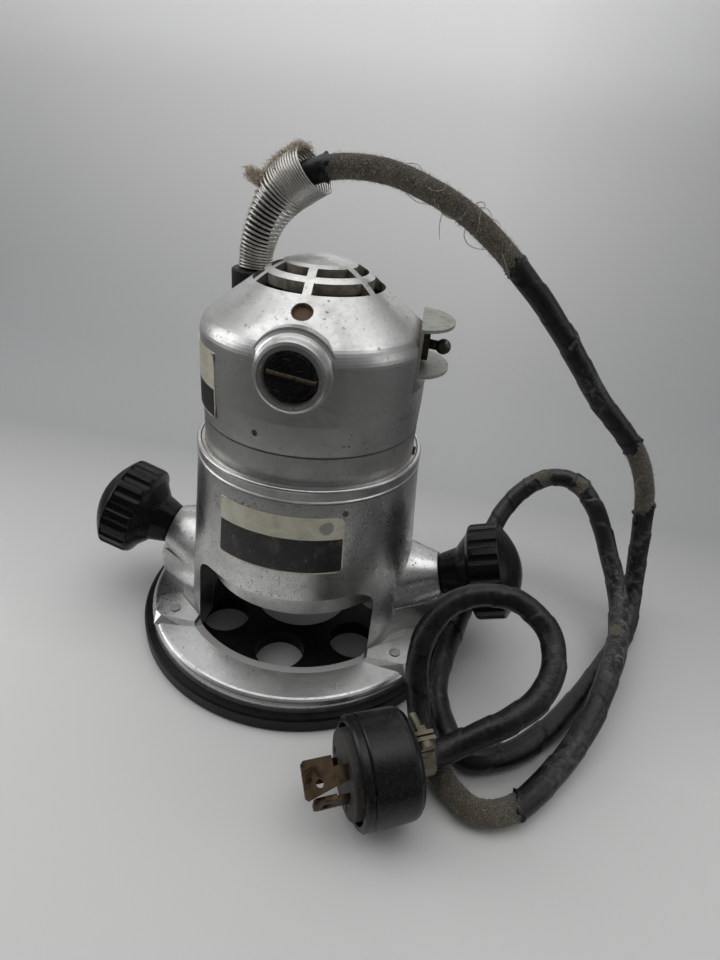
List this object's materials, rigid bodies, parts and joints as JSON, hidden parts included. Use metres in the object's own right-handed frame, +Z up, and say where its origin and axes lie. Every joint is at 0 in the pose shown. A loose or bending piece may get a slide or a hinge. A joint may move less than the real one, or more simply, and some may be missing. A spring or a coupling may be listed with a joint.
{
  "type": "electric router",
  "caption": "Fixed-base electric router with aluminium motor and base, two black knobs, depth ring, toggle switch and a taped cord with a round locking plug.",
  "frame": {"origin": "on the motor's axis, at the underside of the sub-base", "axes": "+Z up along the motor's axis, X through the two handle knobs, -Y towards the front window and name plate"},
  "size_m": [0.2782, 0.1912, 0.2067],
  "materials": {
    "cast_aluminium": "satin, worn cast and polished",
    "black_phenolic": "matte, scuffed",
    "black_bakelite": "worn gloss",
    "brown_fibre": "matte, dusty",
    "zinc_steel": "dull zinc",
    "brass_trim": "tarnished",
    "printed_plate": "aged enamel, bare",
    "carbon": "dull graphite",
    "spring_steel": "worn plating",
    "stack_steel": "laminated",
    "copper_wire": "varnished copper",
    "bearing_steel": "ground",
    "blackened_brass": "blackened, worn",
    "guard_steel": "dull grey-green",
    "gland_rubber": "matte",
    "fan_plastic": "matte",
    "taped_cord": "cloth tape wraps"
  },
  "bodies": {
    "base": {"base_casting": "cast_aluminium", "sub_base": "black_phenolic", "sub_base_screws": "zinc_steel", "name_plate": "printed_plate", "clamp_screw": "zinc_steel", "handle_studs": "zinc_steel", "left_knob": "black_bakelite", "right_knob": "black_bakelite", "plug_body": "black_bakelite", "plug_face": "brown_fibre", "plug_blades": "brass_trim", "plug_clamp": "brass_trim", "plug_clamp_screws": "brass_trim", "cord": "taped_cord"},
    "ring": {"depth_ring": "cast_aluminium"},
    "wing": {"clamp_wing_nut": "zinc_steel"},
    "motor": {"motor_housing": "cast_aluminium", "motor_cap": "cast_aluminium", "cap_screws": "brass_trim", "motor_name_plate": "printed_plate", "brush_caps": "black_bakelite", "brush_holders": "brass_trim", "brushes": "carbon", "brush_springs": "spring_steel", "field_stator": "stack_steel", "field_coils": "copper_wire", "lower_bearing": "bearing_steel", "upper_bearing": "bearing_steel", "switch_body": "black_bakelite", "switch_nut": "blackened_brass", "switch_guard": "guard_steel", "cord_gland": "gland_rubber", "strain_spring": "spring_steel"},
    "rotor": {"spindle": "bearing_steel", "armature_core": "stack_steel", "armature_windings": "copper_wire", "commutator": "copper_wire", "cooling_fan": "fan_plastic", "collet": "bearing_steel", "collet_nut": "bearing_steel"},
    "toggle": {"toggle_lever": "blackened_brass"}
  },
  "joints": [
    {"name": "depth_slide", "type": "slide", "parent": "base", "child": "motor", "axis": [0, 0, 1], "range_m": [-0.008, 0.025], "deforming": ["cord"]},
    {"name": "ring_turn", "type": "hinge", "parent": "base", "child": "ring", "pos_m": [0, 0, 0.0945], "axis": [0, 0, 1], "continuous": true},
    {"name": "wing_turn", "type": "hinge", "parent": "base", "child": "wing", "pos_m": [0.018, 0.0605, 0.073], "axis": [1, 0, 0], "range_deg": [-180, 180]},
    {"name": "spindle_spin", "type": "hinge", "parent": "motor", "child": "rotor", "pos_m": [0, 0, 0.04], "axis": [0, 0, 1], "continuous": true},
    {"name": "toggle_flip", "type": "hinge", "parent": "motor", "child": "toggle", "pos_m": [0.03875, 0.00203, 0.1438], "axis": [0, 0, 1], "range_deg": [0, 30]}
  ]
}
